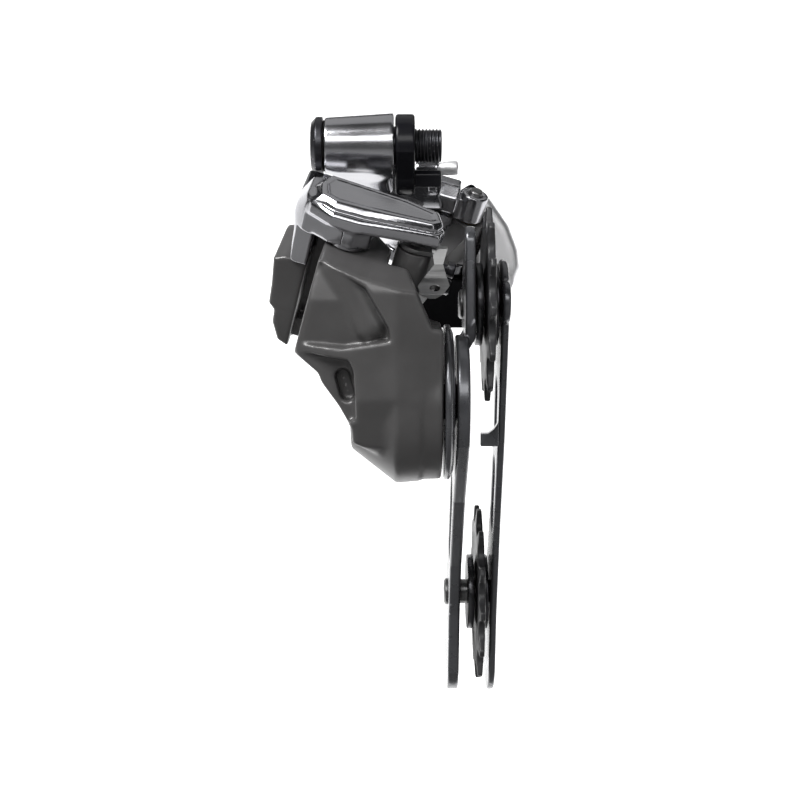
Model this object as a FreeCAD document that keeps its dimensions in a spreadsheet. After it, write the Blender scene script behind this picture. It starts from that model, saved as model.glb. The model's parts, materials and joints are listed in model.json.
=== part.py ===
"""Electronic rear derailleur with a long cage, as an assembly of separate pieces.

Row frame, in millimetres: the origin is on the hanger bolt's axis, in the face that meets the
frame's hanger. +X points inboard (to the wheel), +Y to the rear and +Z up.
The four link pins are parallel but lean, so the links are drawn in a link frame of their own:
its x runs across (inboard), its y to the rear along the links and its z up along the pins.
"""
import FreeCAD
import Part
import Sketcher
import math
import os

SIZES = {
    # hanger bolt and the parts on its axis
    "thread_rad": 5.0, "thread_len": 7.7, "shank_rad": 5.6, "head_rad": 8.3, "head_len": 3.4,
    "barrel_len": 20.0, "barrel_rad": 9.4, "barrel_tip_rad": 8.1, "barrel_bore": 7.0,
    "plate_thick": 5.7, "plate_rad": 9.1, "run_gap": 0.05,
    # link pins, as places in the link frame
    "b_outer_across": 4.0, "b_outer_back": 18.0, "b_inner_across": 22.0, "b_inner_back": 20.0,
    "p_outer_across": -10.6, "p_outer_back": -36.6, "p_inner_across": 7.4, "p_inner_back": -34.6,
    "pin_rad": 2.2, "bush_rad": 3.2, "boss_rad": 5.0, "pin_lean": 26.0, "pin_cant": 15.5,
    # levels along the pins
    "b_boss_top": -27.4, "b_boss_low": -40.6, "knuckle_top": -17.0, "shelf_top": -37.3,
    # lower knuckle
    "cage_axis_back": -18.0, "cage_axis_up": -72.1, "drum_rad": 22.6, "drum_face": 7.4,
    "spring_room": 17.0, "axle_rad": 5.0, "axle_bush_rad": 6.4,
    # cage
    "guide_back": -4.3, "guide_up": -45.4, "tension_back": 30.3, "tension_up": -141.4,
    "disc_gap": 0.5, "disc_rad": 22.0, "disc_thick": 2.6, "outer_plate_at": 11.2, "outer_plate_thick": 3.6,
    "arm_at": 13.9, "inner_plate_at": 24.4, "inner_plate_thick": 2.2,
    # pulleys
    "teeth": 13.0, "tip_rad": 28.2, "pitch_rad": 26.53, "seat_rad": 4.1, "pulley_thick": 2.2,
    "pulley_at": 20.0, "pulley_bore": 4.0, "bolt_rad": 2.5, "shield_rad": 12.0,
    # drive
    "gear_rad": 6.0, "pinion_rad": 2.5, "motor_rad": 5.6,
}


class Size:
    """A length that keeps both its value and the sheet formula that gives it."""

    def __init__(self, value, formula):
        self.value = value
        self.formula = formula

    def __add__(self, other):
        other = as_size(other)
        return Size(self.value + other.value, f"({self.formula} + {other.formula})")

    def __sub__(self, other):
        other = as_size(other)
        return Size(self.value - other.value, f"({self.formula} - {other.formula})")

    def __mul__(self, factor):
        return Size(self.value * factor, f"({self.formula} * {factor:.6f})")

    def __neg__(self):
        return self * -1.0

    __radd__ = __add__


def as_size(number):
    return number if isinstance(number, Size) else Size(float(number), f"({float(number):.6f})")


def plain(number):
    return as_size(number).value


doc = FreeCAD.newDocument("rear_derailleur")
sheet = doc.addObject("Spreadsheet::Sheet", "Sizes")
for line, (word, amount) in enumerate(SIZES.items(), start=1):
    sheet.set(f"A{line}", word)
    sheet.set(f"B{line}", str(amount))
    sheet.setAlias(f"B{line}", word)
doc.recompute()
dim = {word: Size(amount, f"Sizes.{word}") for word, amount in SIZES.items()}
nodes = {}

X_AXIS = FreeCAD.Vector(1, 0, 0)
Y_AXIS = FreeCAD.Vector(0, 1, 0)
Z_AXIS = FreeCAD.Vector(0, 0, 1)
ORIGIN = FreeCAD.Vector(0, 0, 0)
ROW = FreeCAD.Placement()
LINKS = FreeCAD.Placement(ORIGIN, FreeCAD.Rotation(Y_AXIS, SIZES["pin_cant"])
                          * FreeCAD.Rotation(X_AXIS, SIZES["pin_lean"]))
# A turned part's drawing has its axis along sketch x; these turn that axis to +X or to the pins.
ALONG_X = FreeCAD.Rotation()
ALONG_Z = FreeCAD.Rotation(Y_AXIS, -90)
ALONG_Y = FreeCAD.Rotation(Z_AXIS, 90)

B_OUTER = (SIZES["b_outer_across"], SIZES["b_outer_back"])
B_INNER = (SIZES["b_inner_across"], SIZES["b_inner_back"])
P_OUTER = (SIZES["p_outer_across"], SIZES["p_outer_back"])
P_INNER = (SIZES["p_inner_across"], SIZES["p_inner_back"])
CAGE_AXIS = (SIZES["cage_axis_back"], SIZES["cage_axis_up"])
GUIDE = (SIZES["guide_back"], SIZES["guide_up"])
TENSION = (SIZES["tension_back"], SIZES["tension_up"])
HOUSING_SCREWS = ((9.8, -27.6), (29.3, -42.2), (20, -18.5))


# ---------------------------------------------------------------- drawing helpers

def bind(thing, **sizes):
    """Sets each named property and ties it to the sheet."""
    for prop, amount in sizes.items():
        setattr(thing, prop, plain(amount))
        if isinstance(amount, Size):
            thing.setExpression(prop, amount.formula)


def origin_plane(body, role):
    return next(part for part in body.Origin.OriginFeatures if part.Role == role)


def new_sketch(body, role, lift=0.0):
    sketch = body.newObject("Sketcher::SketchObject", body.Name + "_drawing")
    sketch.AttachmentSupport = (origin_plane(body, role), [""])
    sketch.MapMode = "FlatFace"
    sketch.AttachmentOffset = FreeCAD.Placement(FreeCAD.Vector(0, 0, plain(lift)), FreeCAD.Rotation())
    if isinstance(lift, Size):
        sketch.setExpression(".AttachmentOffset.Base.z", lift.formula)
    return sketch


def fix_point(sketch, geometry, which, point):
    """Holds one point of a sketch at two sizes."""
    for kind, amount in zip(("DistanceX", "DistanceY"), point):
        index = sketch.addConstraint(Sketcher.Constraint(kind, -1, 1, geometry, which, plain(amount)))
        if isinstance(amount, Size):
            sketch.setExpression(f"Constraints[{index}]", amount.formula)


def draw_polygon(sketch, points):
    """A closed outline of straight edges, every corner held."""
    corners = [FreeCAD.Vector(plain(a), plain(b), 0) for a, b in points]
    for start, end in zip(corners, corners[1:] + corners[:1]):
        sketch.addGeometry(Part.LineSegment(start, end), False)
    count = len(corners)
    for edge in range(count):
        sketch.addConstraint(Sketcher.Constraint("Coincident", edge, 2, (edge + 1) % count, 1))
        fix_point(sketch, edge, 1, points[edge])


def draw_circle(sketch, centre, radius):
    middle = FreeCAD.Vector(plain(centre[0]), plain(centre[1]), 0)
    index = sketch.addGeometry(Part.Circle(middle, Z_AXIS, plain(radius)), False)
    fix_point(sketch, index, 3, centre)
    held = sketch.addConstraint(Sketcher.Constraint("Radius", index, plain(radius)))
    if isinstance(radius, Size):
        sketch.setExpression(f"Constraints[{held}]", radius.formula)


def draw_strap(sketch, first, second):
    """Two rounded ends, each (x, y, radius), joined by their outer tangents."""
    (ax, ay, ar), (bx, by, br) = [[plain(number) for number in end] for end in (first, second)]
    heading = math.atan2(by - ay, bx - ax)
    spread = math.acos((ar - br) / math.hypot(bx - ax, by - ay))
    left, right = heading + spread, heading - spread

    def on_circle(cx, cy, radius, angle):
        return FreeCAD.Vector(cx + radius * math.cos(angle), cy + radius * math.sin(angle), 0)

    def arc(cx, cy, radius, start, end):
        return Part.ArcOfCircle(Part.Circle(FreeCAD.Vector(cx, cy, 0), Z_AXIS, radius), start, end)

    sketch.addGeometry(arc(ax, ay, ar, left, right + 2 * math.pi), False)
    sketch.addGeometry(Part.LineSegment(on_circle(ax, ay, ar, right), on_circle(bx, by, br, right)), False)
    sketch.addGeometry(arc(bx, by, br, right, left), False)
    sketch.addGeometry(Part.LineSegment(on_circle(bx, by, br, left), on_circle(ax, ay, ar, left)), False)
    for edge, edge_end, other, other_end in ((0, 2, 1, 1), (1, 2, 2, 1), (2, 2, 3, 1), (3, 2, 0, 1)):
        sketch.addConstraint(Sketcher.Constraint("Tangent", edge, edge_end, other, other_end))
    for arc, end in ((0, first), (2, second)):
        fix_point(sketch, arc, 3, end[:2])
        held = sketch.addConstraint(Sketcher.Constraint("Radius", arc, plain(end[2])))
        if isinstance(end[2], Size):
            sketch.setExpression(f"Constraints[{held}]", end[2].formula)


def new_body(label, place=ROW):
    body = doc.addObject("PartDesign::Body", label)
    body.Label = label
    body.Placement = place
    return body


def add_pad(body, sketch, length):
    pad = body.newObject("PartDesign::Pad", body.Name + "_pad")
    pad.Profile = sketch
    bind(pad, Length=length)
    sketch.Visibility = False
    return pad


def spot(x, y, z, rotation=ALONG_X, frame=ROW):
    """A placement inside the row or the link frame."""
    return frame.multiply(FreeCAD.Placement(FreeCAD.Vector(x, y, z), rotation))


def through_face(place):
    """On an axis that runs rearward through the drive's back face at (x, z)."""
    return spot(place[0], 0, place[1], ALONG_Y)


def at_pin(place):
    """On a link pin's axis, for pieces drawn along it."""
    return spot(*place, 0, ALONG_Z, LINKS)


def turned(label, profile, place):
    """A turned piece: its profile is (along, radius) about the sketch's x axis."""
    body = new_body(label, place)
    sketch = new_sketch(body, "XY_Plane")
    draw_polygon(sketch, profile)
    spin = body.newObject("PartDesign::Revolution", body.Name + "_turning")
    spin.Profile = sketch
    spin.ReferenceAxis = (sketch, ["H_Axis"])
    spin.Angle = 360.0
    sketch.Visibility = False
    return body


def tube(label, start, end, inner, outer, place):
    return turned(label, [(start, inner), (end, inner), (end, outer), (start, outer)], place)


def rod(label, start, end, radius, place, chamfer=0.4):
    edge = as_size(radius) - chamfer
    return turned(label, [(start, 0), (end, 0), (end, edge), (as_size(end) - chamfer, radius),
                          (as_size(start) + chamfer, radius), (start, edge)], place)


def prism(label, role, points, length, lift=0.0, place=ROW):
    """A straight piece: an outline on an origin plane, raised by lift and padded by length."""
    body = new_body(label, place)
    sketch = new_sketch(body, role, lift)
    draw_polygon(sketch, points)
    add_pad(body, sketch, length)
    return body


def straps(label, role, chain, length, lift=0.0, place=ROW):
    """Rounded straps from each end in the chain to the next, padded together as one plate."""
    body = new_body(label, place)
    for first, second in zip(chain, chain[1:]):
        sketch = new_sketch(body, role, lift)
        draw_strap(sketch, first, second)
        add_pad(body, sketch, length)
    return body


def drum(label, start, end, radius, place):
    """A plain cylinder along its frame's x, to cut with or to join."""
    cylinder = doc.addObject("Part::Cylinder", label)
    bind(cylinder, Radius=radius, Height=as_size(end) - start)
    forward = FreeCAD.Placement(FreeCAD.Vector(plain(start), 0, 0), FreeCAD.Rotation(Y_AXIS, 90))
    cylinder.Placement = place.multiply(forward)
    return cylinder


def block(label, low, high, place=ROW):
    box = doc.addObject("Part::Box", label)
    bind(box, Length=as_size(high[0]) - low[0], Width=as_size(high[1]) - low[1],
         Height=as_size(high[2]) - low[2])
    box.Placement = place.multiply(FreeCAD.Placement(FreeCAD.Vector(*map(plain, low)), FreeCAD.Rotation()))
    return box


def joined(label, parts):
    fuse = doc.addObject("Part::MultiFuse", label)
    fuse.Shapes = parts
    fuse.Refine = True
    return fuse


def common(label, parts):
    meet = doc.addObject("Part::MultiCommon", label)
    meet.Shapes = parts
    return meet


def less(label, base, tools):
    """The base with every tool taken away."""
    cut = doc.addObject("Part::Cut", label)
    cut.Base = base
    cut.Tool = tools[0] if len(tools) == 1 else joined(label + "_tools", tools)
    return cut


def group(label, parts):
    """Identical pieces that share a node stay separate solids."""
    set_of = doc.addObject("Part::Compound", label)
    set_of.Links = parts
    return set_of


def loft(label, sections):
    """A straight-sided solid through polygons that have the same number of corners."""
    rings = []
    for number, corners in enumerate(sections):
        ring = doc.addObject("Part::Feature", f"{label}_section_{number}")
        ring.Shape = Part.makePolygon([FreeCAD.Vector(*corner) for corner in corners + corners[:1]])
        rings.append(ring)
    skin = doc.addObject("Part::Loft", label)
    skin.Sections = rings
    skin.Solid = True
    skin.Ruled = True
    return skin


def coil(label, radius, wire, pitch, height, place):
    """A round-wire helical spring along its frame's z."""
    path = doc.addObject("Part::Helix", label + "_path")
    bind(path, Radius=radius, Pitch=pitch, Height=height)
    ring = doc.addObject("Part::Circle", label + "_wire")
    ring.Radius = wire
    ring.Placement = FreeCAD.Placement(FreeCAD.Vector(plain(radius), 0, 0), FreeCAD.Rotation(X_AXIS, 90))
    sweep = doc.addObject("Part::Sweep", label)
    sweep.Sections = [ring]
    sweep.Spine = (path, ["Edge1"])
    sweep.Solid = True
    sweep.Frenet = True
    sweep.Placement = place
    return sweep


def keep(name, thing):
    """Makes an object one of the assembly's nodes."""
    thing.Label = name
    nodes[name] = thing
    return thing


def hex_socket(body, flats, depth, role="YZ_Plane", lift=0.0):
    """A hexagonal drive pocket, cut along the plane's normal from lift."""
    doc.recompute()
    before = body.Shape.Volume
    sketch = new_sketch(body, role, lift)
    corner = flats / math.sqrt(3)
    angles = [math.radians(60 * step) for step in range(6)]
    draw_polygon(sketch, [(corner * math.cos(a), corner * math.sin(a)) for a in angles])
    pocket = body.newObject("PartDesign::Pocket", body.Name + "_socket")
    pocket.Profile = sketch
    pocket.Length = depth
    pocket.Reversed = True
    sketch.Visibility = False
    doc.recompute()
    if body.Shape.Volume > before - 0.5 * depth:
        raise RuntimeError(body.Name + ": the socket missed the solid")
    return body


# ---------------------------------------------------------------- on the hanger bolt's axis

def make_mount():
    head_end = -(dim["plate_thick"] + dim["barrel_len"] + dim["run_gap"] * 16)
    bolt = turned("hanger_bolt", [
        (head_end - dim["head_len"], 0), (dim["thread_len"], 0),
        (dim["thread_len"], dim["thread_rad"] - 0.6), (dim["thread_len"] - 0.6, dim["thread_rad"]),
        (0, dim["thread_rad"]), (0, dim["shank_rad"]), (head_end, dim["shank_rad"]),
        (head_end, dim["head_rad"]), (head_end - dim["head_len"] + 1.4, dim["head_rad"]),
        (head_end - dim["head_len"], dim["head_rad"] - 1.5)], ROW)
    keep("hanger_bolt", hex_socket(bolt, 5.0, 6.0, lift=head_end - dim["head_len"]))

    plate = new_body("stop_plate_blank")
    sketch = new_sketch(plate, "YZ_Plane", -dim["plate_thick"])
    draw_strap(sketch, (0, 0, dim["plate_rad"]), (2.0, -8.2, 5.8))
    add_pad(plate, sketch, dim["plate_thick"])
    tab = prism("stop_tab", "YZ_Plane", [
        (-2, -11.7), (6, -11.7), (6, -8.1), (5, -6.9), (-1, -6.9), (-2, -8.1)],
        dim["thread_len"] + 1.0, lift=-1.0)
    opening = drum("stop_plate_bore", -10, 1, dim["shank_rad"] + 0.1, ROW)
    keep("stop_plate", less("stop_plate", joined("stop_plate_solid", [plate, tab]), [opening]))

    seal_at = head_end + dim["run_gap"]
    keep("bolt_seal", tube("bolt_seal", seal_at, seal_at + 0.4, dim["shank_rad"] + 0.1,
                           dim["head_rad"] - 1.0, ROW))


def make_upper_knuckle():
    near = -(dim["plate_thick"] + dim["run_gap"] * 6)
    far = near - dim["barrel_len"]
    barrel = turned("barrel", [(far, 0), (near, 0), (near, dim["barrel_rad"] - 0.5),
                               (near - 0.5, dim["barrel_rad"]), (far + 0.6, dim["barrel_tip_rad"]),
                               (far, dim["barrel_tip_rad"] - 0.6)], ROW)
    # The arm runs back and inboard from under the barrel to the two ears that hold the link pins.
    arm = loft("arm", [
        [(-24, -3, -7), (-8, -3, -7), (-8, -3, -1), (-24, -3, -1)],
        [(-21, 9, -14), (-7, 9, -15), (-7, 9, -2), (-19, 9, -2)],
        [(-14, 16, -18.6), (3, 16, -18.6), (3, 16, -9), (-12, 16, -8)],
        [(-6, 22, -19), (9, 22, -18.5), (9, 22, -9.5), (-6, 22, -9)],
        [(-6, 27, -21), (9, 27, -20), (9, 27, -12), (-6, 27, -12)]])
    upper_ear = drum("upper_ear", -3, 17, 6, spot(0, 19, -21.4, frame=LINKS))
    ear_cap = rod("upper_ear_cap", -27, -18.2, 4.2, at_pin(B_INNER))
    ear_web = block("ear_web", (16, 17, -27), (22, 24, -20), LINKS)
    back_wall = block("back_wall", (-3, 21, -45.4), (26, 29.5, -24), LINKS)
    lower_ear = straps("lower_ear", "XY_Plane", [(*B_OUTER, 5), (*B_INNER, 5)], 4.2, -45.4, LINKS)
    screw_at = spot(0, 20, -6.4, FreeCAD.Rotation(Y_AXIS, -4))
    lug = drum("screw_lug", 0.5, 7.3, 3.4, screw_at)
    lug_foot = block("screw_lug_foot", (0.5, 17.5, -13), (7, 23, -7))
    solid = joined("upper_knuckle_solid", [barrel, arm, upper_ear, ear_cap, ear_web, back_wall,
                                           lower_ear, lug, lug_foot])
    axle_bore = drum("barrel_bore", -40, 1, dim["barrel_bore"], ROW)
    plate_room = block("plate_room", (-6.0, -12, -16), (12, 9.4, 12))
    link_room = block("link_room", (-8, 4, -41.2), (30, 25.4, -27.4), LINKS)
    pin_holes = [drum("pin_hole_outer", -60, -15, dim["pin_rad"], at_pin(B_OUTER)),
                 drum("pin_hole_inner", -60, -15, dim["pin_rad"], at_pin(B_INNER))]
    screw_hole = drum("screw_hole", -10, 20, 2.0, screw_at)
    gear_room = drum("knuckle_gear_room", -41.2, -36, dim["gear_rad"] + 0.6, at_pin(B_INNER))
    rear_trim = block("rear_trim", (-40, 41.6, -80), (60, 80, 20))
    rooms = [axle_bore, plate_room, link_room, screw_hole, gear_room, rear_trim] + pin_holes
    rooms += [drum(f"knuckle_screw_hole_{number}", 39, 50, 1.25, through_face(place))
              for number, place in enumerate(HOUSING_SCREWS)]
    keep("upper_knuckle", less("upper_knuckle", solid, rooms))

    bush_ends = ((far + 0.2, far + 5.2), (near - 5.2, near - 0.2))
    keep("axle_bushes", group("axle_bushes", [
        tube(f"axle_bush_{number}", start, end, dim["shank_rad"] + dim["run_gap"], dim["barrel_bore"], ROW)
        for number, (start, end) in enumerate(bush_ends)]))
    keep("axle_spring", coil("axle_spring", 6.3, 0.5, 1.6, 8.0,
                             spot(plain(far) + 6.2, 0, 0, FreeCAD.Rotation(Y_AXIS, 90))))
    keep("upper_outer_pin", rod("upper_outer_pin", -45.2, -17.6, dim["pin_rad"], at_pin(B_OUTER)))
    keep("upper_inner_pin", rod("upper_inner_pin", -45.2, -17.0, dim["pin_rad"], at_pin(B_INNER)))
    screw_end, socket_deep = 13.4, 2.0
    screw = turned("height_screw", [
        (-2.5, 0), (screw_end, 0), (screw_end, 1.7), (13.0, 2.1), (9.6, 2.1), (9.6, 1.95), (-2.0, 1.95),
        (-2.5, 1.4)], screw_at)
    keep("height_screw", hex_socket(screw, 2.5, socket_deep, lift=screw_end - socket_deep))


# ---------------------------------------------------------------- the drive behind the links

def make_drive():
    """The powered end: a shell behind the ears with the motor across its foot."""
    face, depth = 49.0, 18.0
    outline = [(7, -20), (12.5, -13.5), (18.4, -9.8), (24.3, -14.9), (30.2, -23.2), (33.2, -31),
               (33.8, -36.5), (31.8, -42), (28.6, -48.5), (26, -56), (2.5, -56), (-1.5, -50), (-1, -33),
               (5, -30)]
    shell = prism("drive_shell", "XZ_Plane", outline, depth, lift=-face)
    pinion_axis = (30.5, 20.9)
    motor_at = spot(0, 42, -43)
    button_at, port_at, lens_at = (14, -33), (24, -32), (19, -27)
    rooms = [
        drum("motor_room", 8.8, 26.2, dim["motor_rad"] + 0.1, motor_at),
        drum("pinion_room", -46, -36, 3.2, at_pin(pinion_axis)),
        drum("gear_room", -41.4, -26, dim["gear_rad"] + 0.6, at_pin(B_INNER)),
        common("knuckle_room", [block("knuckle_room_wall", (-6, 0, -45.5), (26.1, 29.6, -10), LINKS),
                                block("knuckle_room_front", (-40, 0, -80), (60, 41.7, 20))]),
        drum("button_room", 45.6, 50, 3.05, through_face(button_at)),
        drum("port_room", 41.8, 50, 3.4, through_face(port_at)),
        drum("lens_room", 48.0, 50, 1.0, through_face(lens_at)),
        block("board_room", (28.0, 31.8, -38.2), (29.6, 44.2, -25.8)),
        drum("cage_sweep", 0, 40, 59.5, spot(0, *CAGE_AXIS)),
        nodes["upper_knuckle"]]
    rooms += [drum(f"housing_screw_hole_{number}", 39, 50, 1.25, through_face(place))
              for number, place in enumerate(HOUSING_SCREWS)]
    keep("drive_housing", less("drive_housing", shell, rooms))
    keep("drive_motor", rod("drive_motor", 9, 26, dim["motor_rad"], motor_at))
    keep("drive_pinion", turned("drive_pinion", [
        (-44.6, 0), (-37.2, 0), (-37.2, dim["pinion_rad"]), (-40.4, dim["pinion_rad"]), (-40.4, 1.0),
        (-44.6, 1.0)], at_pin(pinion_axis)))
    keep("circuit_board", block("circuit_board", (28.2, 32, -38), (29.4, 44, -26)))
    keep("function_button", rod("function_button", 46.4, 49.8, 3.0, through_face(button_at), 0.5))
    keep("plug_port", tube("plug_port", 42.0, 49.4, 2.2, 3.4, through_face(port_at)))
    keep("status_lens", rod("status_lens", 48.0, 49.3, 1.0, through_face(lens_at), 0.2))
    keep("housing_screws", group("housing_screws", [
        turned(f"housing_screw_{number}", [(39.2, 0), (50.2, 0), (50.2, 1.8), (49.6, 2.3), (49.0, 2.3),
                                           (49.0, 1.25), (39.2, 1.25)], through_face(place))
        for number, place in enumerate(HOUSING_SCREWS)]))


# ---------------------------------------------------------------- links

def quad(across_low, across_high, back, low, high):
    """A rectangle across the links, as corners in the row frame."""
    corners = ((across_low, low), (across_high, low), (across_high, high), (across_low, high))
    return [tuple(LINKS.multVec(FreeCAD.Vector(across, back, level))) for across, level in corners]


def bush_set(name, ends):
    """Plain bearing bushes pressed into a link's bosses."""
    keep(name, group(name, [
        tube(f"{name}_{number}", low, high, dim["pin_rad"] + dim["run_gap"], dim["bush_rad"],
             at_pin(place)) for number, (place, low, high) in enumerate(ends)]))


def make_outer_link():
    boss_b = drum("outer_boss_b", dim["b_boss_low"], dim["b_boss_top"], dim["boss_rad"],
                  at_pin(B_OUTER))
    boss_p = drum("outer_boss_p", -16.5, -8.0, 5.4, at_pin(P_OUTER))
    web = loft("outer_web", [quad(-0.5, 8.5, 18, -38, -28), quad(-2.8, 5.5, 8, -37, -27.6),
                             quad(-10.5, -2.5, -20, -16.4, -11.0), quad(-14.5, -6.7, -36.6, -16.4, -11.0)])
    solid = joined("outer_link_solid", [boss_b, boss_p, web])
    holes = [drum("outer_hole_b", -50, -10, dim["bush_rad"], at_pin(B_OUTER)),
             drum("outer_hole_p", -30, 0, dim["bush_rad"], at_pin(P_OUTER))]
    cover_room = block("cover_room", (-30, -50, -10.8), (20, -19, 0), LINKS)
    keep("outer_link", less("outer_link", solid, holes + [cover_room]))
    bush_set("outer_link_bushes", [(B_OUTER, -40.6, -34.6), (B_OUTER, -33.4, -27.4), (P_OUTER, -16.5, -10.9)])


def make_link_cover():
    """The wide roof over both links, with a rounded shoulder that wraps the front outer pivot."""
    roof_plan = [(-21.0, -24), (1.9, -26), (12.0, -29.0), (14.2, -35), (13.2, -38.8), (4, -40.5),
                 (-8, -43.0), (-16, -43.0), (-22.6, -38.6), (-23.2, -31)]
    top_plan = [(-19.5, -25), (1.9, -27), (11.2, -30.0), (12.6, -35), (10.4, -37.6), (4, -38.4),
                (-8, -39.6), (-16, -39.8), (-20.2, -37.6), (-21.4, -31)]
    levels = ((-10.2, roof_plan), (-7.4, roof_plan), (-4.0, top_plan))
    sections = [[tuple(LINKS.multVec(FreeCAD.Vector(across, back, level))) for across, back in plan]
                for level, plan in levels]
    roof = loft("cover_roof", sections)
    wrap_plan = [(-28.8, -26), (-27.6, -32), (-24.0, -37.0), (-16.5, -41.4), (-9.5, -42.8), (-4.6, -40.0),
                 (-4.0, -35), (-6.5, -30), (-16.2, -28), (-16.2, -10), (-28.8, -10)]
    wrap = prism("shoulder_plan", "XY_Plane", wrap_plan, 23.4, -28.2, LINKS)
    wrap_front = prism("shoulder_front", "XZ_Plane", [
        (-20.6, -5.4), (-24.4, -6.4), (-27.2, -11.5), (-27.6, -14), (-26.2, -19), (-25.6, -28.2),
        (-20.4, -28.2), (-20.4, -16.7), (-17, -16.5), (-3, -16.5), (-3, -9.0), (-18, -8.0)], 36, 9, LINKS)
    solid = joined("link_cover_solid", [roof, common("shoulder", [wrap, wrap_front])])
    boss_room = drum("cover_boss_room", -20, -10.8, 5.5, at_pin(P_OUTER))
    web_room = loft("cover_web_room", [quad(-10.6, -2.4, -18, -18.0, -10.9),
                                       quad(-14.7, -6.5, -36.6, -17, -10.9)])
    rear_room = loft("cover_rear_room", [quad(-10.0, 0, -5, -31, -10), quad(-11.3, -1.7, -20, -19, -10.9)])
    swing_room = block("cover_swing_room", (-40, -60, -40), (0, -34.8, -16.55), LINKS)
    arm_room = block("cover_arm_room", (-40, -23.9, -11.2), (0, 0, 0), LINKS)
    keep("link_cover", less("link_cover", solid, [boss_room, web_room, rear_room, swing_room, arm_room]))


def make_link_guard():
    """The outboard shell below the shoulder, which holds the energy store, and the flange behind its slot."""
    guard_view = prism("guard_view", "XZ_Plane", [
        (-26.7, -28.3), (-29.8, -29.8), (-28.8, -38), (-28.4, -44.4), (-26.6, -46.2), (-26.3, -50.3),
        (-23.8, -55.6), (-20.4, -57.0), (-20.4, -28.3)], 23, 10, LINKS)
    guard_side = prism("guard_side", "YZ_Plane", [
        (-22.5, -22), (-24, -32), (-23, -46), (-12, -58), (-6, -64), (12, -60), (12, -50), (9, -22)], 40, -60)
    solid = joined("guard_solid", [
        common("guard_block", [guard_view, guard_side]),
        block("guard_flange_low", (-21, -22, -45.5), (-12.2, -13, -28.4), LINKS),
        block("guard_flange_high", (-20.2, -22, -28.6), (-12.2, -13, -18), LINKS)])
    cavity = block("guard_cavity", (-26.6, -29.5, -43.5), (-22.4, -12.5, -30), LINKS)
    keep("link_guard", less("link_guard", solid, [cavity]))
    keep("battery", block("battery", (-26.3, -29.2, -43.2), (-22.7, -12.8, -30.3), LINKS))


def make_inner_link():
    boss_b = drum("inner_boss_b", -36.8, dim["b_boss_top"], dim["boss_rad"], at_pin(B_INNER))
    boss_p = drum("inner_boss_p", -36.9, -13.8, dim["boss_rad"], at_pin(P_INNER))
    web = loft("inner_web", [quad(18.4, 25.4, 18, -36, -28), quad(5.2, 12.2, -32, -36, -24)])
    solid = joined("inner_link_solid", [boss_b, boss_p, web])
    holes = [drum("inner_hole_b", -50, -10, dim["bush_rad"], at_pin(B_INNER)),
             drum("inner_hole_p", -50, -10, dim["bush_rad"], at_pin(P_INNER))]
    end_screws = {"outer_end_screw": -33.0, "inner_end_screw": -27.4}
    screw_back, screw_start, screw_end, socket_deep = -16.0, 6.0, 14.8, 1.4
    for name, level in end_screws.items():
        place = spot(screw_start, screw_back, level, frame=LINKS)
        holes.append(drum(name + "_hole", -5, 20, 1.5, place))
        screw = turned(name, [(0, 0), (screw_end, 0), (screw_end, 2.0), (14.4, 2.4), (12.4, 2.4),
                              (12.4, 1.45), (0.4, 1.45), (0, 1.0)], place)
        keep(name, hex_socket(screw, 2.0, socket_deep, lift=screw_end - socket_deep))
    keep("inner_link", less("inner_link", solid, holes))
    bush_set("inner_link_bushes", [(B_INNER, -36.8, -27.4), (P_INNER, -36.9, -30.9), (P_INNER, -19.8, -13.8)])
    keep("drive_gear", tube("drive_gear", -40.4, -36.9, dim["pin_rad"] + dim["run_gap"], dim["gear_rad"],
                            at_pin(B_INNER)))


# ---------------------------------------------------------------- lower knuckle

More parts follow.
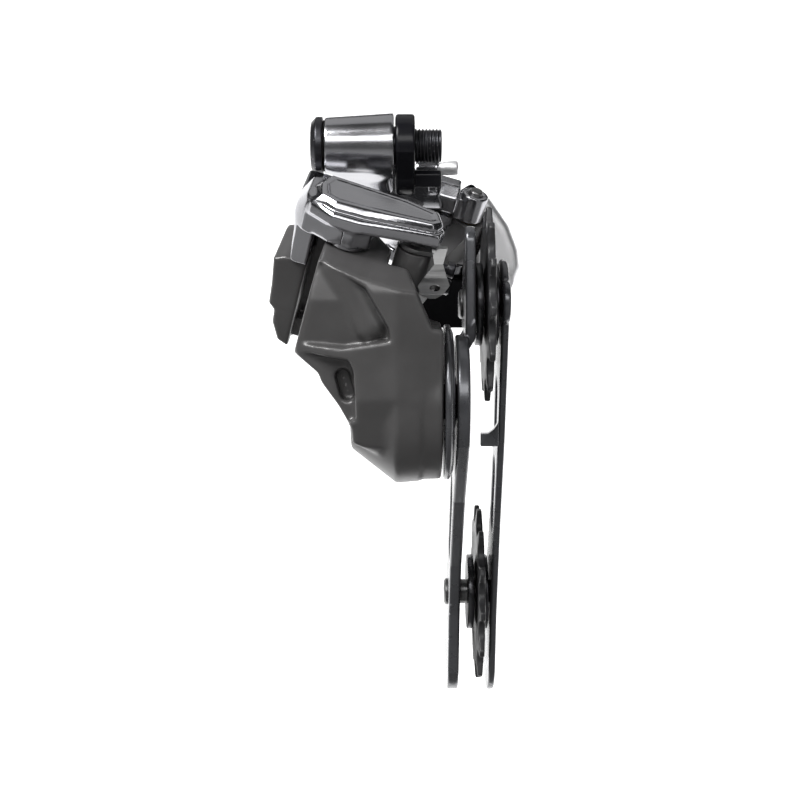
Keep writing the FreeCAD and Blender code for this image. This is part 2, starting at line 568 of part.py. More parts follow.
def make_lower_knuckle():
    axis = spot(0, *CAGE_AXIS)
    face = dim["drum_face"]
    front_view = prism("housing_front", "XZ_Plane", [
        (-30, -18), (-8, -24), (-3.4, -31.5), (4.4, -49.6), (face, -50.6), (face, -88), (-5, -88),
        (-17.2, -81), (-17.6, -76.5), (-20.8, -70.8), (-25.4, -64.4), (-26.4, -61.8), (-29.6, -59),
        (-34, -55.4), (-38, -48), (-38, -40)], 52, lift=-6)
    side_view = prism("housing_side", "YZ_Plane", [
        (-36, -22), (-41.6, -40), (-41.6, -68), (-36, -82), (-22, -94), (4, -90), (4.4, -66), (-2, -56),
        (-10, -46), (-12, -20)], 52, lift=-43)
    plan_view = prism("housing_plan", "XY_Plane", [
        (-42, -25), (-38, -32.5), (-24, -40.5), (-6, -44), (8, -44), (8, 6), (-6, 6), (-18, -3), (-34, -8),
        (-42, -15)], 90, lift=-100)
    horn = common("housing_horn", [front_view, side_view, plan_view])
    barrel = turned("housing_drum", [(-18.0, 0), (face, 0), (face, dim["drum_rad"] - 0.6),
                                     (face - 0.6, dim["drum_rad"]), (-5.0, dim["drum_rad"]), (-14.8, 14.6),
                                     (-18.0, 12.8)], axis)
    solid = joined("housing_solid", [horn, barrel])
    sweep_out = [(1.6, -41.2), (1.6, -33), (-7, -22), (-7, 30), (50, 30), (50, -41.2)]
    rooms = [
        block("room_above", (-60, -80, dim["knuckle_top"]), (60, 60, 40), LINKS),
        block("room_outboard", (-60, -80, -58.4), (-16.6, 60, 40), LINKS),
        block("room_behind", (-60, -27, -46.6), (60, 60, 40), LINKS),
        prism("room_inner_link", "XY_Plane", sweep_out, 60, dim["shelf_top"], LINKS),
        drum("spring_room", -8, 20, dim["spring_room"], axis),
        drum("axle_room", -15.5, 20, dim["axle_bush_rad"], axis),
        drum("hole_p_outer", -36, 0, dim["pin_rad"], at_pin(P_OUTER)),
        drum("hole_p_inner", -46, 0, dim["pin_rad"], at_pin(P_INNER))]
    keep("lower_knuckle", less("lower_knuckle", solid, rooms))

    keep("lower_outer_pin", rod("lower_outer_pin", -35.8, -11.0, dim["pin_rad"], at_pin(P_OUTER)))
    keep("lower_inner_pin", rod("lower_inner_pin", -45.8, -11.6, dim["pin_rad"], at_pin(P_INNER)))
    keep("cage_bushes", group("cage_bushes", [
        tube("cage_bush_0", -15.3, -11.8, dim["axle_rad"] + dim["run_gap"], dim["axle_bush_rad"], axis),
        tube("cage_bush_1", -11.6, -8.1, dim["axle_rad"] + dim["run_gap"], dim["axle_bush_rad"], axis)]))
    keep("cage_spring", coil("cage_spring", 12.5, 1.1, 3.2, 9.6,
                             spot(-6.4, *CAGE_AXIS, FreeCAD.Rotation(Y_AXIS, 90))))


def make_retainer_tab():
    """The bent strip that keeps the inner pin up and ends in an ear with a hole."""
    foot = straps("tab_foot", "XY_Plane", [(*P_INNER, 4.6), (12.8, -35.0, 3.0)], 1.2, -13.4, LINKS)
    bend = prism("tab_bend", "YZ_Plane", [
        (-24.0, -28.2), (-28.6, -28.8), (-29.4, -33), (-31.6, -36.6), (-37.6, -40.6), (-37.0, -41.8),
        (-31.0, -38), (-28.3, -34), (-27.4, -30.0), (-24.0, -29.4)], 12, lift=-1)
    outline = prism("tab_outline", "XZ_Plane", [
        (3.6, -26), (8.8, -26), (8.6, -29), (7.4, -33), (9.0, -38.5), (7.2, -40.6), (4.4, -42.2),
        (1.4, -40.9), (0.4, -38.7), (4.9, -33), (4.3, -29)], 20, lift=20)
    strip = common("tab_strip", [bend, outline])
    sheet_slope = FreeCAD.Rotation(X_AXIS, math.degrees(math.atan2(4, 6)))
    ear_hole = drum("ear_hole", -4, 4, 1.4, spot(5.0, -35.0, -39.4, sheet_slope * ALONG_Z))
    pin_hole = drum("tab_pin_hole", -30, 0, dim["pin_rad"], at_pin(P_INNER))
    keep("retainer_tab", less("retainer_tab", joined("tab_solid", [foot, strip]), [ear_hole, pin_hole]))


# ---------------------------------------------------------------- cage

def along_cage(distance, aside):
    """A place on the cage, measured down from its pivot towards the tension pulley and aside."""
    run = (TENSION[0] - CAGE_AXIS[0], TENSION[1] - CAGE_AXIS[1])
    length = math.hypot(*run)
    down = (run[0] / length, run[1] / length)
    return (CAGE_AXIS[0] + down[0] * distance - down[1] * aside,
            CAGE_AXIS[1] + down[1] * distance + down[0] * aside)


def make_cage():
    axis = spot(0, *CAGE_AXIS)
    disc_at = dim["drum_face"] + dim["disc_gap"]
    disc_end = disc_at + dim["disc_thick"]
    keep("cage_axle", hex_socket(turned("cage_axle", [
        (-15.0, 0), (13.2, 0), (13.2, 6.4), (12.6, 7.0), (11.0, 7.0), (11.0, dim["axle_rad"]),
        (-14.5, dim["axle_rad"]), (-15.0, dim["axle_rad"] - 0.5)], axis), 5.0, 4.0, lift=13.2 - 4.0))
    keep("pivot_disc", turned("pivot_disc", [
        (disc_at, dim["axle_rad"]), (disc_end, dim["axle_rad"]), (disc_end, dim["disc_rad"] - 2.2),
        (disc_end - 1.0, dim["disc_rad"]), (disc_at + 0.5, dim["disc_rad"]),
        (disc_at, dim["disc_rad"] - 0.5)], axis))

    plate_at = dim["outer_plate_at"]
    tip = along_cage(104.6, -4)
    lower = straps("outer_plate_lower", "YZ_Plane", [
        (*CAGE_AXIS, 19.0), (*along_cage(30, -1), 10.5), (*along_cage(62, 0), 8.5), (*TENSION, 12.0),
        (*tip, 16.5)], dim["outer_plate_thick"], plate_at)
    arm = straps("outer_plate_arm", "YZ_Plane", [
        (-16.6, -50.5, 4.6), (-13.5, -27.5, 4.6), (GUIDE[0], GUIDE[1], 8.0), (-16.6, -50.5, 4.6)],
        3.0, dim["arm_at"])
    step = loft("outer_plate_step", [
        [(11.3, -21.2, -56.5), (11.3, -4, -57.5), (11.3, -4, -63), (11.3, -22.2, -63)],
        [(16.8, -21.2, -49.0), (16.8, -6, -47.5), (16.8, -6, -54), (16.8, -21.2, -54)]])
    rivet_room = drum("outer_plate_bore", 9, 11.4, 7.2, axis)
    window = straps("outer_window", "YZ_Plane", [(*along_cage(36, 0), 5.5), (*along_cage(62, 0), 4.0)], 6,
                    plate_at - 1)
    axle_room = drum("outer_plate_axle_room", 10.9, 20, 7.05, axis)
    bolt_holes = [drum(f"outer_bolt_hole_{number}", 9, 20, dim["bolt_rad"], spot(0, *place))
                  for number, place in enumerate((GUIDE, TENSION))]
    keep("outer_cage_plate", less("outer_cage_plate", joined("outer_plate_solid", [lower, arm, step]),
                                  [window, rivet_room, axle_room] + bolt_holes))

    inner_at = dim["inner_plate_at"]
    inner = straps("inner_plate_blank", "YZ_Plane", [
        (-16.5, -44, 6.0), (*GUIDE, 13.0), (3.5, -82, 9.5), (16, -112, 8.5), (*TENSION, 12.0),
        (*tip, 16.5)], dim["inner_plate_thick"], inner_at)
    window_ends = (((2.5, -72), (5, -84)), ((9.5, -97), (16.5, -113)))
    inner_windows = [straps(f"inner_window_{number}", "YZ_Plane", [(*start, 4.5), (*end, 4.5)], 6,
                            inner_at - 1) for number, (start, end) in enumerate(window_ends)]
    inner_holes = [drum(f"inner_bolt_hole_{number}", 20, 30, dim["bolt_rad"], spot(0, *place))
                   for number, place in enumerate((GUIDE, TENSION))]
    keep("inner_cage_plate", less("inner_cage_plate", inner, inner_windows + inner_holes))
    keep("chain_hook", prism("chain_hook", "XZ_Plane", [
        (19.2, -86.6), (inner_at, -86.6), (inner_at, -79.5), (23.0, -81.6), (21.4, -82.8), (19.2, -82.8)],
        3.0, lift=5.6))

    for word, place, head_at in (("guide", GUIDE, 12.7), ("tension", TENSION, 10.0)):
        centre = spot(0, *place)
        end = inner_at + dim["inner_plate_thick"]
        bolt = turned(f"{word}_bolt", [(head_at, 0), (end + 0.8, 0), (end + 0.8, dim["bolt_rad"] - 0.4),
                                       (end, dim["bolt_rad"]), (head_at + 1.2, dim["bolt_rad"]),
                                       (head_at + 1.2, 4.2), (head_at + 0.5, 4.2), (head_at, 3.6)], centre)
        keep(f"{word}_bolt", hex_socket(bolt, 3.0, 2.0, lift=head_at))
        pulley_at, thick = dim["pulley_at"], dim["pulley_thick"]
        shield_bore = dim["pulley_bore"] - dim["run_gap"]
        bush_start = dim["arm_at"] + 3.0 if word == "guide" else plate_at + dim["outer_plate_thick"]
        keep(f"{word}_bush", tube(f"{word}_bush", bush_start, inner_at, dim["bolt_rad"], shield_bore, centre))
        make_pulley(word, centre, pulley_at, thick)
        keep(f"{word}_shields", group(f"{word}_shields", [
            tube(f"{word}_shield_outer", pulley_at - 2.6, pulley_at - 0.6, shield_bore,
                 dim["shield_rad"], centre),
            tube(f"{word}_shield_inner", pulley_at + thick + 0.6, pulley_at + thick + 1.7, shield_bore,
                 dim["shield_rad"], centre)]))


def make_pulley(word, centre, start, thick):
    """A toothed jockey wheel: a blank with one tooth gap cut and repeated round it."""
    teeth = int(SIZES["teeth"])
    half = math.pi / teeth
    body = new_body(f"{word}_pulley", centre)
    sketch = new_sketch(body, "YZ_Plane", start)
    draw_circle(sketch, (0, 0), dim["tip_rad"])
    draw_circle(sketch, (0, 0), dim["pulley_bore"])
    add_pad(body, sketch, thick)
    doc.recompute()
    gap_sketch = new_sketch(body, "YZ_Plane", start)
    seat, pitch, tip = SIZES["seat_rad"], SIZES["pitch_rad"], SIZES["tip_rad"]
    flank = math.radians(24)
    middle = FreeCAD.Vector(pitch, 0, 0)
    right = FreeCAD.Vector(pitch - seat * math.sin(flank), -seat * math.cos(flank), 0)
    left = FreeCAD.Vector(right.x, -right.y, 0)
    bottom = FreeCAD.Vector(pitch - seat, 0, 0)
    mouth = (tip + 1.0) * math.sin(half * 0.93)
    gap_sketch.addGeometry(Part.Arc(right, bottom, left), False)
    gap_sketch.addGeometry(Part.LineSegment(left, FreeCAD.Vector(tip + 1.0, mouth, 0)), False)
    gap_sketch.addGeometry(Part.LineSegment(FreeCAD.Vector(tip + 1.0, mouth, 0),
                                            FreeCAD.Vector(tip + 1.0, -mouth, 0)), False)
    gap_sketch.addGeometry(Part.LineSegment(FreeCAD.Vector(tip + 1.0, -mouth, 0), right), False)
    pocket = body.newObject("PartDesign::Pocket", f"{word}_tooth_gap")
    pocket.Profile = gap_sketch
    pocket.Type = 1
    pocket.Midplane = True
    pattern = body.newObject("PartDesign::PolarPattern", f"{word}_tooth_gaps")
    pattern.Originals = [pocket]
    pattern.Axis = (gap_sketch, ["N_Axis"])
    pattern.Angle = 360.0
    pattern.Occurrences = teeth
    body.Tip = pattern
    keep(f"{word}_pulley", body)


# ---------------------------------------------------------------- build, check, write

for make in (make_mount, make_upper_knuckle, make_drive, make_outer_link, make_link_cover, make_link_guard,
             make_inner_link, make_lower_knuckle, make_retainer_tab, make_cage):
    make()
doc.recompute()

for thing in doc.Objects:
    if "Invalid" in thing.State or "Error" in thing.State:
        raise RuntimeError(f"{thing.Label}: {thing.State}")
os.makedirs("parts", exist_ok=True)
for name, thing in nodes.items():
    if thing.Shape.isNull() or not thing.Shape.isValid():
        raise RuntimeError(f"{name}: bad shape")
    thing.Shape.exportStep(f"parts/{name}.step")
    print(f"{name}: {len(thing.Shape.Solids)} solid(s), {thing.Shape.Volume:.0f} mm3")
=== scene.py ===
import json
import math

import bpy
import numpy as np
from mathutils import Matrix, Vector


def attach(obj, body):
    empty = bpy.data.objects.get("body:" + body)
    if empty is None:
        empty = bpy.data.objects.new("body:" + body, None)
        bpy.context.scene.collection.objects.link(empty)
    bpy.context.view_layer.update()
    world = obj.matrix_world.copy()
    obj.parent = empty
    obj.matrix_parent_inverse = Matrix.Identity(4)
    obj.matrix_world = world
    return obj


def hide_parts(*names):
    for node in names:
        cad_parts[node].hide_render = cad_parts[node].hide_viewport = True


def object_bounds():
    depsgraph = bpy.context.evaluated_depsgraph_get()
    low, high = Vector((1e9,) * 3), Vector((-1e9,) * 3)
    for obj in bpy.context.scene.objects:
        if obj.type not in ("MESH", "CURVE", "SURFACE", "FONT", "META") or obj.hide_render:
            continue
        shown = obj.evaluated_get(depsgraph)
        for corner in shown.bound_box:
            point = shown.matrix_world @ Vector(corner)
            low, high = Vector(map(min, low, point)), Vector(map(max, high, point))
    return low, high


# Looks of the electronic rear derailleur. Shapes are drawn in millimetres, as the CAD is, and each mesh
# is written in metres in the row frame. Castings and plates are solids of distance fields: a field is
# negative inside the metal, smooth joins round its edges, and its zero surface becomes the mesh.

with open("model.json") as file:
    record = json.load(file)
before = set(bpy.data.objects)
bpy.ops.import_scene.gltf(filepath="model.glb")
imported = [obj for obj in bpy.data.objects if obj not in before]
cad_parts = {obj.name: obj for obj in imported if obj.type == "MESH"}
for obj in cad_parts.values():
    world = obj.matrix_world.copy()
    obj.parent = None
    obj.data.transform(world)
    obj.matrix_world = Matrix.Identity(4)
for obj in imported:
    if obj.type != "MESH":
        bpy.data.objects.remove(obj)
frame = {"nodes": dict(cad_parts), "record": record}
cad_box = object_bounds()
nodes = frame["nodes"]

MM = 0.001
FINE = 1.0
LINKS = np.array(Matrix.Rotation(math.radians(15.5), 3, "Y") @ Matrix.Rotation(math.radians(26.0), 3, "X"))

B_OUTER, B_INNER = (4.0, 18.0), (22.0, 20.0)
P_OUTER, P_INNER = (-10.6, -36.6), (7.4, -34.6)
PIN_RAD = 2.2
CAGE_AXIS = (-18.0, -72.1)
GUIDE, TENSION = (-4.3, -45.4), (30.3, -141.4)


# ---------------------------------------------------------------- distance fields

class Space:
    """A grid of sample points, known both in the row frame (x, y, z) and the link frame (v, u, a)."""

    def __init__(self, low, high, step, links=False):
        self.low, self.step, self.links = np.array(low, float), step * FINE, links
        axes = [np.arange(start, stop + self.step, self.step, dtype=np.float32)
                for start, stop in zip(low, high)]
        own = np.meshgrid(*axes, indexing="ij", sparse=True)
        turn = LINKS if links else LINKS.T
        other = [sum(float(turn[row, column]) * own[column] for column in range(3)) for row in range(3)]
        self.row, self.link = (other, own) if links else (own, other)
        self.shape = tuple(len(axis) for axis in axes)


def smax(first, second, width):
    """The larger of two fields, rounded over width: cuts and intersections."""
    mix = np.clip(0.5 - 0.5 * (second - first) / width, 0, 1)
    return second + (first - second) * mix + width * mix * (1 - mix)


def smin(first, second, width):
    """The smaller of two fields, rounded over width: joins."""
    return -smax(-first, -second, width)


def joined(fields, width):
    """All the fields as one, rounded over width where they meet."""
    total = fields[0]
    for field in fields[1:]:
        total = smin(total, field, width)
    return total


def cut(field, tools, width=0.3):
    """A field with every tool taken out of it."""
    for tool in tools:
        field = smax(field, -tool, width)
    return field


def slab(axis, low, high):
    """Everything between two parallel planes."""
    return np.maximum(low - axis, axis - high)


def outline(across, up, points):
    """Distance from a polygon drawn in the plane of two coordinates."""
    near, inside = None, False
    for (ax, ay), (bx, by) in zip(points, points[1:] + points[:1]):
        edge_x, edge_y = bx - ax, by - ay
        along = np.clip(((across - ax) * edge_x + (up - ay) * edge_y) / (edge_x ** 2 + edge_y ** 2), 0, 1)
        gap = (across - ax - edge_x * along) ** 2 + (up - ay - edge_y * along) ** 2
        near = gap if near is None else np.minimum(near, gap)
        if ay != by:
            inside = inside ^ (((ay > up) != (by > up)) & (across < edge_x * (up - ay) / edge_y + ax))
    return np.where(inside, -1, 1) * np.sqrt(near)


def strap(across, up, first, second):
    """Two rounded ends, each (across, up, radius), and the taper between them."""
    edge = (second[0] - first[0], second[1] - first[1])
    span = edge[0] ** 2 + edge[1] ** 2
    along = np.clip(((across - first[0]) * edge[0] + (up - first[1]) * edge[1]) / span, 0, 1)
    radius = first[2] + (second[2] - first[2]) * along
    return np.hypot(across - first[0] - edge[0] * along, up - first[1] - edge[1] * along) - radius


def chain(across, up, ends):
    """Straps from each end to the next, as one flat shape."""
    shape = strap(across, up, ends[0], ends[1])
    for first, second in zip(ends[1:], ends[2:]):
        shape = np.minimum(shape, strap(across, up, first, second))
    return shape


def limb(place, first, second):
    """A round tapered rod between two balls, each (x, y, z, radius)."""
    edge = np.array(second[:3], float) - np.array(first[:3], float)
    along = np.clip(sum((place[k] - first[k]) * edge[k] for k in range(3)) / (edge @ edge), 0, 1)
    reach = sum((place[k] - first[k] - edge[k] * along) ** 2 for k in range(3))
    return np.sqrt(reach) - (first[3] + (second[3] - first[3]) * along)


def box(place, low, high, width=0.4):
    """A block with rounded edges, in the frame of the place given."""
    walls = [slab(place[k], low[k], high[k]) for k in range(3)]
    return smax(smax(walls[0], walls[1], width), walls[2], width)


def pin(place, at, low, high, radius, width=0.3):
    """An upright round bar on a link pin's axis."""
    return smax(np.hypot(place[0] - at[0], place[1] - at[1]) - radius, slab(place[2], low, high), width)


def soften(field, passes):
    """Rounds every edge a little more with each pass."""
    for _ in range(passes):
        for axis in range(3):
            padded = np.concatenate([field.take([0], axis), field, field.take([-1], axis)], axis)
            count = field.shape[axis]
            parts = [padded.take(range(start, start + count), axis) for start in range(3)]
            field = 0.25 * parts[0] + 0.5 * parts[1] + 0.25 * parts[2]
    return field


def surface(space, field):
    """The zero surface of a field: one point in each mixed cell, joined by quads across each crossing."""
    field = np.broadcast_to(field, space.shape).astype(np.float32).copy()
    for axis in range(3):
        edge = [slice(None)] * 3
        for end in (0, -1):
            edge[axis] = end
            field[tuple(edge)] = np.maximum(field[tuple(edge)], space.step * 0.5)
    inside = field < 0
    size = [count - 1 for count in field.shape]
    corners = [(i, j, k) for i in (0, 1) for j in (0, 1) for k in (0, 1)]
    full = sum(inside[i:i + size[0], j:j + size[1], k:k + size[2]].astype(np.int8) for i, j, k in corners)
    cells = np.argwhere((full > 0) & (full < 8))
    values = {corner: field[tuple((cells + corner).T)] for corner in corners}
    total, count = np.zeros((len(cells), 3)), np.zeros(len(cells))
    for first in corners:
        for axis in range(3):
            if first[axis]:
                continue
            second = tuple(1 if k == axis else first[k] for k in range(3))
            start, end = values[first], values[second]
            crosses = (start < 0) != (end < 0)
            share = np.where(crosses, start / np.where(crosses, start - end, 1), 0)
            point = np.tile(np.array(first, float), (len(cells), 1))
            point[:, axis] += share
            total += point * crosses[:, None]
            count += crosses
    points = (cells + total / count[:, None]) * space.step + space.low
    number = np.full(size, -1, np.int64)
    number[tuple(cells.T)] = np.arange(len(cells))
    quads = []
    for axis in range(3):
        b, c = (axis + 1) % 3, (axis + 2) % 3
        ahead = tuple(slice(1, None) if k == axis else slice(None) for k in range(3))
        behind = tuple(slice(None, -1) if k == axis else slice(None) for k in range(3))
        crossing = np.argwhere(inside[ahead] != inside[behind])
        crossing = crossing[(crossing[:, b] > 0) & (crossing[:, c] > 0)
                            & (crossing[:, b] < size[b]) & (crossing[:, c] < size[c])]
        step_b, step_c = np.eye(3, dtype=int)[b], np.eye(3, dtype=int)[c]
        ring = np.stack([number[tuple((crossing - shift).T)]
                         for shift in (step_b + step_c, step_c, 0 * step_b, step_b)], axis=1)
        leaves = inside[tuple(crossing.T)]
        quads.append(np.where(leaves[:, None], ring, ring[:, ::-1]))
    return points, np.concatenate(quads)


def make_piece(name, points, faces, body, node):
    """A smooth-shaded mesh in the row frame that rides on a body and stands for a CAD node."""
    mesh = bpy.data.meshes.new(name)
    mesh.from_pydata((np.asarray(points) * MM).tolist(), [], np.asarray(faces).tolist())
    mesh.polygons.foreach_set("use_smooth", [True] * len(mesh.polygons))
    mesh.materials.append(MATERIALS[slot_of[node]])
    mesh.update()
    piece = bpy.data.objects.new(name, mesh)
    bpy.context.scene.collection.objects.link(piece)
    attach(piece, body)
    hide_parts(node)
    return piece


def cast_piece(name, space, field, body, node):
    """The surface of a field as a piece, turned into the row frame if it was drawn in the link frame."""
    points, faces = surface(space, field)
    if space.links:
        points = points @ LINKS.T
    return make_piece(name, points, faces, body, node)


# ---------------------------------------------------------------- materials

# The colour sockets of a Mix node, which share their names with its other kinds of socket.
MIX_FIRST, MIX_SECOND, MIX_RESULT = 6, 7, 2


def add_node(tree, kind, **settings):
    """A shader node with its settings, each either a property or, with _ for a space, an input."""
    node = tree.nodes.new(kind)
    for word, value in settings.items():
        if hasattr(node, word):
            setattr(node, word, value)
        else:
            node.inputs[word.replace("_", " ")].default_value = value
    return node


def finish(name, colour, metallic, roughness, spread=0.06, grain=900.0, depth=0.02, tint=0.12, edge_wear_and_highlight=0.0,
           edge_colour=(0.55, 0.55, 0.56), brushed=None, coat=0.0, coat_roughness=0.08, shine=0.5):
    """A metal, coated or moulded surface: mottled colour, uneven gloss, fine grain and lighter edges, which
    stand for rubbed wear and, on the cage plates, also for a painted highlight.
    """
    material = bpy.data.materials.new(name)
    material.use_nodes = True
    tree = material.node_tree
    shader = tree.nodes["Principled BSDF"]
    shader.inputs["Metallic"].default_value = metallic
    shader.inputs["Specular IOR Level"].default_value = shine
    shader.inputs["Coat Weight"].default_value = coat
    shader.inputs["Coat Roughness"].default_value = coat_roughness
    place = tree.nodes.new("ShaderNodeTexCoord").outputs["Object"]
    if brushed:
        stretch = add_node(tree, "ShaderNodeMapping", Scale=brushed)
        tree.links.new(place, stretch.inputs["Vector"])
        place = stretch.outputs["Vector"]
    fine = add_node(tree, "ShaderNodeTexNoise", Scale=grain, Detail=3.0)
    broad = add_node(tree, "ShaderNodeTexNoise", Scale=grain * 0.09, Detail=4.0)
    for noise in (fine, broad):
        tree.links.new(place, noise.inputs["Vector"])
    gloss = add_node(tree, "ShaderNodeMapRange", From_Min=0.3, From_Max=0.7,
                     To_Min=max(roughness - spread, 0.02), To_Max=roughness + spread)
    tree.links.new(broad.outputs["Fac"], gloss.inputs["Value"])
    tree.links.new(gloss.outputs["Result"], shader.inputs["Roughness"])
    mottle = tree.nodes.new("ShaderNodeValToRGB")
    dark = [channel * (1 - tint) for channel in colour]
    pale = [min(channel * (1 + tint), 1.0) for channel in colour]
    mottle.color_ramp.elements[0].position = 0.3
    mottle.color_ramp.elements[0].color = (*dark, 1)
    mottle.color_ramp.elements[1].position = 0.7
    mottle.color_ramp.elements[1].color = (*pale, 1)
    tree.links.new(broad.outputs["Fac"], mottle.inputs["Fac"])
    skin = mottle.outputs["Color"]
    if edge_wear_and_highlight:
        geometry = tree.nodes.new("ShaderNodeNewGeometry")
        edge = add_node(tree, "ShaderNodeMapRange", From_Min=0.53, From_Max=0.62, To_Min=0.0, To_Max=edge_wear_and_highlight)
        edge_mix = add_node(tree, "ShaderNodeMix", data_type="RGBA")
        tree.links.new(geometry.outputs["Pointiness"], edge.inputs["Value"])
        tree.links.new(edge.outputs["Result"], edge_mix.inputs["Factor"])
        tree.links.new(skin, edge_mix.inputs[MIX_FIRST])
        edge_mix.inputs[MIX_SECOND].default_value = (*edge_colour, 1)
        skin = edge_mix.outputs[MIX_RESULT]
    tree.links.new(skin, shader.inputs["Base Color"])
    bump = add_node(tree, "ShaderNodeBump", Strength=0.35, Distance=depth * MM)
    tree.links.new(fine.outputs["Fac"], bump.inputs["Height"])
    tree.links.new(bump.outputs["Normal"], shader.inputs["Normal"])
    return material


MATERIALS = {
    "gunmetal_chrome": finish("gunmetal_chrome", (0.46, 0.46, 0.48), 1.0, 0.21, spread=0.03, depth=0.004,
                              tint=0.05),
    "polished_alloy": finish("polished_alloy", (0.95, 0.95, 0.96), 1.0, 0.5, spread=0.04, depth=0.004,
                             tint=0.03),
    "dark_anodised": finish("dark_anodised", (0.095, 0.093, 0.093), 0.35, 0.36, spread=0.04, depth=0.012,
                            tint=0.08, edge_wear_and_highlight=0.12, edge_colour=(0.2, 0.2, 0.21)),
    "gloss_black": finish("gloss_black", (0.008, 0.008, 0.01), 0.0, 0.24, spread=0.03, depth=0.003,
                          shine=0.22),
    "black_steel": finish("black_steel", (0.045, 0.045, 0.05), 0.85, 0.3, spread=0.06, depth=0.006, edge_wear_and_highlight=0.3),
    # The cage plates' lighter edges are partly rubbed bare metal and partly a painted highlight along the
    # plate edges.
    "cage_plate": finish("cage_plate", (0.1, 0.102, 0.11), 0.6, 0.28, spread=0.05, depth=0.005, edge_wear_and_highlight=0.5,
                         edge_colour=(0.6, 0.61, 0.64), coat=0.3),
    "steel": finish("steel", (0.24, 0.24, 0.24), 1.0, 0.36, brushed=(1.0, 1.0, 14.0), depth=0.006),
    "bronze": finish("bronze", (0.62, 0.46, 0.24), 1.0, 0.38, depth=0.01),
    "pulley_resin": finish("pulley_resin", (0.025, 0.025, 0.027), 0.0, 0.42, depth=0.01, edge_wear_and_highlight=0.2),
    "rubber": finish("rubber", (0.022, 0.022, 0.022), 0.0, 0.7, depth=0.02),
    "board": finish("board", (0.05, 0.22, 0.11), 0.0, 0.4, grain=1600.0),
    "lens": finish("lens", (0.6, 0.85, 0.7), 0.0, 0.12, coat=0.5),
    "cell": finish("cell", (0.2, 0.22, 0.3), 0.0, 0.35, coat=0.3),
}


def paint_shade_on_drive_front(material):
    """Paints shade on the drive shell's front: a near-black colour where it lies in the shade of the links.
    Its polish shows inboard and behind.
    """
    polish_from, shade_from, shade_to, fade = 0.0195, 0.0235, 0.0440, 0.0005
    tree = material.node_tree
    shader = tree.nodes["Principled BSDF"]
    place = tree.nodes.new("ShaderNodeTexCoord")
    split = tree.nodes.new("ShaderNodeSeparateXYZ")
    across = add_node(tree, "ShaderNodeMapRange", From_Min=polish_from, From_Max=polish_from + 4 * fade)
    ahead = add_node(tree, "ShaderNodeMapRange", From_Min=shade_from, From_Max=shade_from + fade, To_Min=1.0,
                     To_Max=0.0)
    rear = add_node(tree, "ShaderNodeMapRange", From_Min=shade_to, From_Max=shade_to + fade)
    tree.links.new(place.outputs["Object"], split.inputs["Vector"])
    tree.links.new(split.outputs["X"], across.inputs["Value"])
    tree.links.new(split.outputs["Y"], ahead.inputs["Value"])
    tree.links.new(split.outputs["Y"], rear.inputs["Value"])
    either = add_node(tree, "ShaderNodeMath", operation="MAXIMUM")
    shown = add_node(tree, "ShaderNodeMath", operation="MAXIMUM")
    tree.links.new(across.outputs["Result"], either.inputs[0])
    tree.links.new(ahead.outputs["Result"], either.inputs[1])
    tree.links.new(either.outputs["Value"], shown.inputs[0])
    tree.links.new(rear.outputs["Result"], shown.inputs[1])
    # Painted shade: the near-black colour mixed over the shell's front where the links shade it.
    coat = add_node(tree, "ShaderNodeMix", data_type="RGBA")
    coat.inputs[MIX_FIRST].default_value = (0.012, 0.012, 0.013, 1)
    tree.links.new(shown.outputs["Value"], coat.inputs["Factor"])
    tree.links.new(shader.inputs["Base Color"].links[0].from_socket, coat.inputs[MIX_SECOND])
    tree.links.new(coat.outputs[MIX_RESULT], shader.inputs["Base Color"])


paint_shade_on_drive_front(MATERIALS["polished_alloy"])
slot_of = {part["node"]: part["material_slot"] for part in frame["record"]["subparts"]}


# ---------------------------------------------------------------- castings

